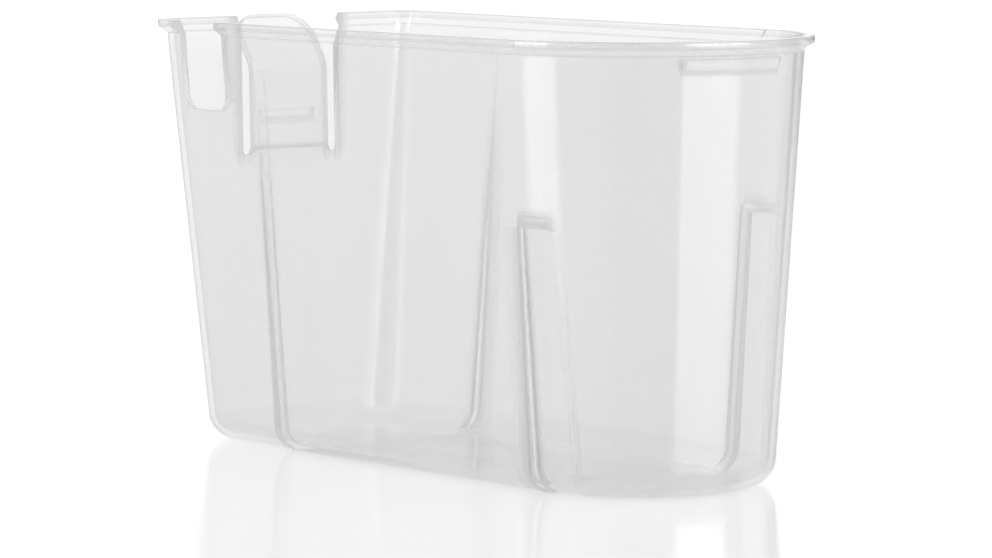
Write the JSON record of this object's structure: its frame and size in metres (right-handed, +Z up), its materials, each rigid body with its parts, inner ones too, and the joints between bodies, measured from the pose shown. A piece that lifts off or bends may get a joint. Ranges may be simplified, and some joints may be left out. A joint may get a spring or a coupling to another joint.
{
  "type": "food storage tub",
  "caption": "Open translucent plastic tub with one flat end and one round end, a flanged rim, a finger notch and a springy latch tongue for a lid.",
  "frame": {"origin": "centre of the bounding box, on the surface that the tub stands on", "axes": "+X runs from the flat latch end to the round end, +Z is up, and the finger notch is on the -Y side"},
  "size_m": [0.2645, 0.117, 0.15],
  "materials": {
    "frosted_polypropylene": "translucent, satin, natural polypropylene"
  },
  "bodies": {
    "tub": {"tub": "frosted_polypropylene"},
    "latch": {"latch_tongue": "frosted_polypropylene"}
  },
  "joints": [
    {"name": "latch_flex", "type": "hinge", "parent": "tub", "child": "latch", "pos_m": [-0.11859, 0, 0.1022], "axis": [0, 1, 0], "range_deg": [-4, 10], "stiffness_Nm_per_rad": 0.4}
  ]
}
